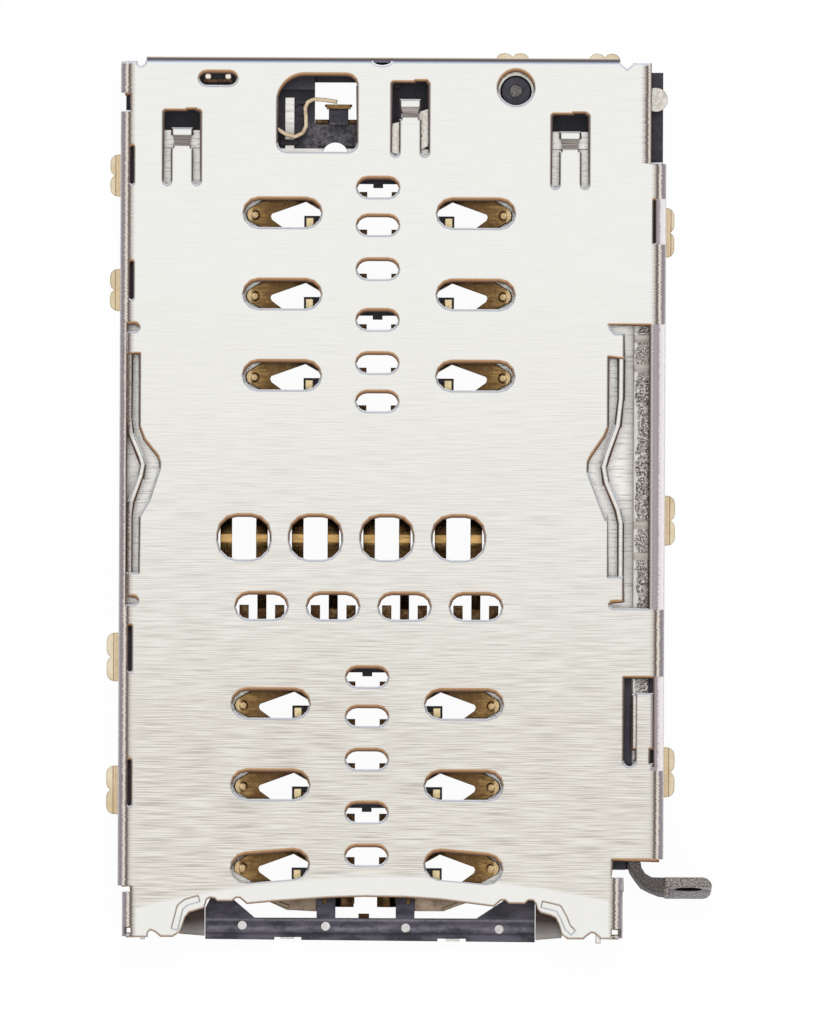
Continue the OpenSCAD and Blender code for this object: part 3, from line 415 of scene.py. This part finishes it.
def floor_plate_material():
    """Brushed steel under the cards, with painted shade in its corners and on the lead-in lips,
    which is darker towards the roof.
    """
    mat, tree, shader = new_material("floor_brushed_steel")
    lines = noise(tree, (1.4, 16.0, 16.0), 5.0, 0.65)
    broad = noise(tree, (0.9, 0.9, 0.9), 2.0)
    colour = ramp(tree, lines, ((0.36, (0.55, 0.52, 0.49)), (0.46, (0.86, 0.84, 0.80)),
                                (0.62, (0.97, 0.95, 0.92))))
    colour = mix(tree, remap(tree, broad, 0.4, 0.7, 0.0, 0.25), colour, (0.55, 0.51, 0.47))
    # painted shade in the corners
    colour = mix(tree, scaled(tree, crevice(tree, 0.4), 0.6), colour, (0.12, 0.09, 0.08))
    y = place(tree, Y)
    # painted shade on the lead-in lips, darker towards the roof
    lip_shade = product(tree, remap(tree, sway(tree, y, broad, 0.3), -13.45, -12.8, 0.6, 1.0),
                  remap(tree, y, -12.1, -12.3, 0.0, 1.0))
    colour = mix(tree, lip_shade, colour, (0.055, 0.04, 0.036))
    finish(tree, shader, colour, 1.0, lines, (0.16, 0.26))
    bump(tree, shader, lines, 0.008, 0.5, 0.03)
    return mat


def tab_material():
    """Pale gold plate, with painted shade in the crease where each foot leaves the shell and on
    the bend beside it.
    """
    mat, tree, shader = new_material("tab_pale_gold")
    grain = noise(tree, (7.0, 7.0, 7.0), 4.0, 0.6)
    broad = noise(tree, (1.2, 1.2, 1.2), 2.0)
    colour = ramp(tree, blend(tree, grain, broad, 0.45),
                  ((0.36, (0.74, 0.60, 0.38)), (0.64, (0.97, 0.86, 0.66))))
    out = sway(tree, math_node(tree, "ABSOLUTE", place(tree, X)), grain, 0.03)
    # painted shade: a dark line in the crease and a darker band on the bend beside it
    colour = mix(tree, within(tree, out, 8.565, 8.595, 0.01), colour, (0.40, 0.24, 0.11))
    colour = mix(tree, within(tree, out, 8.42, 8.54, 0.02), colour, (0.78, 0.62, 0.40))
    finish(tree, shader, colour, 1.0, grain, (0.24, 0.40))
    bump(tree, shader, grain, 0.02, 0.6, 0.06)
    return mat


def rod_material():
    """Sintered steel, dark and granular, with a bright polished running edge and a painted
    highlight on its steps.
    """
    mat, tree, shader = new_material("rod_sintered_steel")
    grain = noise(tree, (22.0, 22.0, 22.0), 3.0, 0.6)
    spot = noise(tree, (5.0, 2.5, 5.0), 3.0, 0.6)
    x, y, z = (place(tree, axis) for axis in (X, Y, Z))
    colour = ramp(tree, grain, ((0.36, (0.06, 0.05, 0.046)), (0.48, (0.30, 0.27, 0.245)),
                                (0.60, (0.86, 0.81, 0.75))))
    colour = mix(tree, remap(tree, spot, 0.55, 0.75, 0.0, 0.45), colour, (0.60, 0.56, 0.51))
    # polished along the inner edge, and a painted highlight on the steps, whose faces turn along
    # the rod
    on_rod = product(tree, within(tree, x, 7.3, 7.95), within(tree, y, -9.0, 11.0))
    edge = product(tree, on_rod, within(tree, sway(tree, x, spot, -0.5), 6.9, 7.28, 0.015),
                   remap(tree, z, 0.9, 1.0, 0.0, 1.0))
    along = math_node(tree, "ABSOLUTE", facing(tree, Y))
    step_highlight = product(tree, on_rod, remap(tree, along, 0.3, 0.5, 0.0, 1.0))
    # the pin socket in the foot lies in shade
    socket_x, socket_z, radius_squared = 9.18, 0.67, 0.18
    dx = math_node(tree, "SUBTRACT", x, socket_x)
    dz = math_node(tree, "SUBTRACT", z, socket_z)
    reach = math_node(tree, "ADD", product(tree, dx, dx), product(tree, dz, dz))
    inside = remap(tree, reach, radius_squared + 0.002, radius_squared - 0.002, 0.0, 1.0)
    socket = product(tree, inside, remap(tree, y, -11.6, -11.7, 0.0, 1.0))
    # the foot is darker than the rod, its flange cooler, the curved neck almost black
    foot = remap(tree, y, -11.2, -11.5, 0.0, 1.0)
    flange = product(tree, foot, remap(tree, z, 0.75, 0.62, 0.0, 1.0))
    neck = product(tree, remap(tree, x, 8.5, 8.4, 0.0, 0.75),
                   remap(tree, y, -10.4, -10.6, 0.0, 1.0))
    colour = mix(tree, scaled(tree, foot, 0.35), colour, (0.14, 0.12, 0.11))
    colour = mix(tree, neck, colour, (0.075, 0.065, 0.062))
    colour = mix(tree, scaled(tree, flange, 0.6), colour, (0.50, 0.47, 0.52))
    colour = mix(tree, peak(tree, edge, step_highlight), colour, (0.90, 0.87, 0.82))
    colour = mix(tree, socket, colour, (0.01, 0.009, 0.009))
    finish(tree, shader, colour, 0.9, grain, (0.5, 0.28))
    bump(tree, shader, grain, 0.02, 0.7, 0.05)
    return mat


def plastic_material():
    """Black glass-filled plastic, matt with a fine moulded grain and a violet cast."""
    mat, tree, shader = new_material("base_black_plastic")
    grain = noise(tree, (9.0, 9.0, 9.0), 4.0, 0.7)
    flow = noise(tree, (0.8, 2.5, 2.5), 3.0, 0.6)
    colour = ramp(tree, grain, ((0.35, (0.014, 0.012, 0.019)), (0.62, (0.042, 0.037, 0.055)),
                                (0.75, (0.11, 0.10, 0.135))))
    x, y = place(tree, X), place(tree, Y)
    # flow marks, strongest in the bar at the mouth, where they are partly painted highlight, and
    # a painted highlight along the bar's top
    bar = remap(tree, y, -12.2, -12.6, 0.12, 0.6)
    colour = mix(tree, product(tree, bar, remap(tree, flow, 0.42, 0.6, 0.0, 1.0)), colour,
                 (0.15, 0.135, 0.18))
    top_highlight = peak(tree, within(tree, y, -12.99, -12.93, 0.02),
                 product(tree, within(tree, y, -13.28, -13.14, 0.06),
                         remap(tree, flow, 0.35, 0.6, 0.1, 0.8)))
    top_highlight = product(tree, top_highlight, remap(tree, facing(tree, Z), 0.8, 0.9, 0.0, 0.7),
                    remap(tree, grain, 0.35, 0.6, 0.4, 1.0))
    colour = mix(tree, top_highlight, colour, (0.33, 0.31, 0.37))
    # scuffed grey round the switch
    scuff = product(tree, within(tree, x, -2.75, -1.0, 0.06), within(tree, y, 10.4, 11.62, 0.03),
                    remap(tree, grain, 0.42, 0.6, 0.0, 0.7))
    colour = mix(tree, scuff, colour, (0.20, 0.19, 0.19))
    finish(tree, shader, colour, 0.0, grain, (0.38, 0.6))
    bump(tree, shader, grain, 0.012, 0.7, 0.05)
    return mat


floor_steel = floor_plate_material()
brace = worn_metal("brace_plated", (0.16, 0.11, 0.08), (0.50, 0.40, 0.30), 0.5, 5.0, (0.24, 0.40))
SLOTS = {
    "shell_steel": shell_material(),
    "floor_steel": floor_steel,
    "spring_gold": spring_material(),
    "tab_gold": tab_material(),
    "bright_metal": worn_metal("pin_bright_steel", (0.55, 0.54, 0.52), (0.92, 0.91, 0.88),
                               0.6, 9.0, (0.18, 0.38), 0.02),
    "rod_metal": rod_material(),
    "lever_steel": worn_metal("lever_ground_steel", (0.55, 0.51, 0.45), (0.95, 0.92, 0.86),
                              0.75, 9.0, (0.16, 0.32), 0.02),
    "base_plastic": plastic_material(),
}
OWN = {
    "brace_left": brace,
    "brace_right": brace,
    "pivot_pin": worn_metal("pivot_dark_steel", (0.04, 0.038, 0.036), (0.34, 0.32, 0.30),
                            0.8, 14.0, (0.25, 0.45), 0.03, 0.05),
    "detect_spring": worn_metal("wire_plated", (0.46, 0.33, 0.20), (0.95, 0.80, 0.60),
                                0.5, 6.0, (0.16, 0.28), 0.01, 0.05),
    "rear_clip": clip_material(),
}
slot_of = {s["node"]: s["material_slot"] for s in frame["record"]["subparts"]}
for name, obj in nodes.items():
    look = OWN.get(name) or SLOTS[slot_of[name]]
    obj.data.materials.clear()
    obj.data.materials.append(look)


# Sheared edges: the punch leaves a slanting lip round every opening of the roof.
# In millimetres: how far below the top an edge still gets a lip, the drops of the lip's three
# corners, its least width and what is added where the edge faces the mouth, the rear or a side.
# At the mouth the lips are thinner.

RIM_REACH = 0.3
RIM_DROPS = (0.003, 0.07, 0.13)
RIM_LEAST, RIM_MOUTH, RIM_REAR, RIM_SIDE = 0.012, 0.08, 0.03, 0.022
RIM_THIN_Y, RIM_THIN_SHARE = -11.5, 0.4


def top_chains(mesh, lowest):
    """Runs of upper edges of roof and springs, with the outward normals of their walls."""
    bm = bmesh.new()
    bm.from_mesh(mesh)
    bmesh.ops.remove_doubles(bm, verts=bm.verts, dist=1e-8)
    links = {}
    for edge in bm.edges:
        if len(edge.link_faces) != 2 or min(v.co.z for v in edge.verts) < lowest:
            continue
        flat = [f for f in edge.link_faces if f.normal.z > 0.9]
        wall = [f for f in edge.link_faces if abs(f.normal.z) < 0.2]
        if len(flat) != 1 or len(wall) != 1:
            continue
        a, b = (v.index for v in edge.verts)
        for one, other in ((a, b), (b, a)):
            links.setdefault(one, []).append((other, wall[0].normal.copy()))
    bm.verts.ensure_lookup_table()
    points = {i: bm.verts[i].co.copy() for i in links}
    bm.free()
    chains = []
    left = set(links)
    while left:
        ends = [i for i in left if len(links[i]) == 1]
        start = min(ends) if ends else min(left)
        run, here = [], start
        while here is not None:
            left.discard(here)
            normal = sum((n for _, n in links[here]), Vector())
            run.append((points[here], normal.normalized()))
            last = here
            here = next((i for i, _ in links[here] if i in left), None)
        closed = len(run) > 2 and start in [i for i, _ in links[last]]
        chains.append((run, closed))
    return chains


def rim_width(point, normal):
    width = RIM_LEAST + RIM_MOUTH * max(0.0, -normal.y) + RIM_REAR * max(0.0, normal.y)
    width += RIM_SIDE * abs(normal.x)
    return width * RIM_THIN_SHARE if point.y < RIM_THIN_Y * MM else width


def add_rims(material):
    """One closed three-cornered bead along each run of edges."""
    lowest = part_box("shell")[1][2] - RIM_REACH * MM
    verts, faces = [], []
    for run, closed in top_chains(nodes["shell"].data, lowest):
        first = len(verts)
        for point, normal in run:
            outward = normal * rim_width(point, normal) * MM
            for drop, offset in zip(RIM_DROPS, (Vector(), outward, Vector())):
                verts.append(point + offset + Vector((0, 0, -drop * MM)))
        count = len(run)
        for i in range(count if closed else count - 1):
            a = first + 3 * i
            b = first + 3 * ((i + 1) % count)
            for j in range(3):
                k = (j + 1) % 3
                faces.append((a + j, a + k, b + k, b + j))
        if not closed:
            faces.append((first, first + 1, first + 2))
            last = first + 3 * (count - 1)
            faces.append((last + 2, last + 1, last))
    mesh = bpy.data.meshes.new("shell_sheared_rims")
    mesh.from_pydata([list(v) for v in verts], [], faces)
    bm = bmesh.new()
    bm.from_mesh(mesh)
    bmesh.ops.recalc_face_normals(bm, faces=bm.faces)
    bm.to_mesh(mesh)
    bm.free()
    rims = bpy.data.objects.new("shell_sheared_rims", mesh)
    scene.collection.objects.link(rims)
    mesh.materials.append(material)
    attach(rims, "frame")


add_rims(rim_material())


def add_landing(name, middle, material):
    """Thin landing of the floor plate under a roof tongue, its rear corners clipped."""
    low, high, half, clipped, bottom_z, thick = 10.83, 11.38, 0.6, 0.06, 0.402, 0.02
    outline = [(-half, low), (half, low), (half, high - clipped), (half - clipped, high),
               (clipped - half, high), (-half, high - clipped)]
    verts = [((middle + x) * MM, y * MM, z * MM)
             for z in (bottom_z, bottom_z + thick) for x, y in outline]
    count = len(outline)
    faces = [tuple(reversed(range(count))), tuple(range(count, 2 * count))]
    for i in range(count):
        j = (i + 1) % count
        faces.append((i, j, count + j, count + i))
    mesh = bpy.data.meshes.new(name)
    mesh.from_pydata(verts, [], faces)
    landing = bpy.data.objects.new(name, mesh)
    scene.collection.objects.link(landing)
    mesh.materials.append(material)
    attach(landing, "frame")


add_landing("floor_landing_left", -6.51, floor_steel)
add_landing("floor_landing_right", 5.44, floor_steel)


# Floor: white to the camera and to metal, matt to the light, so it keeps the shadow

def floor_material():
    mat, tree, shader = new_material("stage_white")
    tree.nodes.remove(shader)
    out = tree.nodes["Material Output"]
    matt = tree.nodes.new("ShaderNodeBsdfDiffuse")
    matt.inputs["Color"].default_value = (0.9, 0.9, 0.9, 1)
    glow = tree.nodes.new("ShaderNodeEmission")
    glow.inputs["Color"].default_value = (1, 1, 1, 1)
    glow.inputs["Strength"].default_value = 1.0
    path = tree.nodes.new("ShaderNodeLightPath")
    seen = peak(tree, *(path.outputs[ray] for ray in ("Is Camera Ray", "Is Glossy Ray",
                                                      "Is Transmission Ray")))
    shade_and_streaks = tree.nodes.new("ShaderNodeMixShader")
    tree.links.new(scaled(tree, seen, 0.96), shade_and_streaks.inputs[0])
    tree.links.new(matt.outputs[0], shade_and_streaks.inputs[1])
    tree.links.new(glow.outputs[0], shade_and_streaks.inputs[2])
    tree.links.new(shade_and_streaks.outputs[0], out.inputs[0])
    return mat


def add_floor():
    mesh = bpy.data.meshes.new("stage_floor")
    half = 0.6
    mesh.from_pydata([(-half, -half, 0), (half, -half, 0), (half, half, 0), (-half, half, 0)],
                     [], [(0, 1, 2, 3)])
    floor = bpy.data.objects.new("stage_floor", mesh)
    scene.collection.objects.link(floor)
    floor.location.z = -0.02 * MM
    mesh.materials.append(floor_material())


add_floor()


# Light: a pale room and one key lamp from the rear, which metal doesn't mirror

def add_area(name, position, aim, size, watts):
    data = bpy.data.lights.new(name, "AREA")
    data.shape = "RECTANGLE"
    data.size, data.size_y = size
    data.energy = watts
    obj = bpy.data.objects.new(name, data)
    obj.location = position
    obj.rotation_euler = (Vector(aim) - Vector(position)).to_track_quat("-Z", "Y").to_euler()
    obj.visible_glossy = False
    scene.collection.objects.link(obj)


def build_world():
    world = bpy.data.worlds.new("studio")
    scene.world = world
    world.use_nodes = True
    tree = world.node_tree
    tree.nodes.clear()
    out = tree.nodes.new("ShaderNodeOutputWorld")
    background = tree.nodes.new("ShaderNodeBackground")
    tex = tree.nodes.new("ShaderNodeTexCoord")
    lean = tree.nodes.new("ShaderNodeVectorMath")
    lean.operation = "DOT_PRODUCT"
    lean.inputs[1].default_value = (0.0, 0.17, 0.985)
    tree.links.new(tex.outputs["Generated"], lean.inputs[0])
    # metal sees a softbox overhead, a dark gap and pale walls, matt surfaces an even room
    sky = ramp(tree, lean.outputs["Value"],
               ((0.0, (0.72, 0.71, 0.71)), (0.44, (0.66, 0.65, 0.65)), (0.62, (0.20, 0.18, 0.19)),
                (0.75, (0.24, 0.225, 0.23)), (0.87, (0.80, 0.80, 0.80)), (0.95, (1.0, 1.0, 1.0))))
    path = tree.nodes.new("ShaderNodeLightPath")
    room = mix(tree, path.outputs["Is Diffuse Ray"], sky, (0.78, 0.78, 0.78))
    tree.links.new(mix(tree, path.outputs["Is Camera Ray"], room, (1.0, 1.0, 1.0)),
                   background.inputs["Color"])
    background.inputs["Strength"].default_value = 1.0
    tree.links.new(background.outputs[0], out.inputs[0])


build_world()
add_area("key_rear", (0.03, 0.28, 0.36), (0, 0, 0), (0.20, 0.12), 0.8)

# Camera: straight down, with the slight turn the reader has in the picture

TURN = 0.0045
PX_PER_MM = 32.5
IMAGE_HEIGHT = 1024
DISTANCE = 0.5
TOP = 1.4 * MM
SENSOR = 36
centre = (0.540 * MM, -0.367 * MM)
camera_data = bpy.data.cameras.new("camera")
camera = bpy.data.objects.new("camera", camera_data)
scene.collection.objects.link(camera)
camera.location = (*centre, TOP + DISTANCE)
camera.rotation_euler = (0, 0, TURN)
camera_data.sensor_width = SENSOR
camera_data.lens = SENSOR * DISTANCE / (IMAGE_HEIGHT / PX_PER_MM * MM)
camera_data.clip_start = 0.01
camera_data.clip_end = 5
scene.camera = camera
scene.view_settings.view_transform = "Standard"
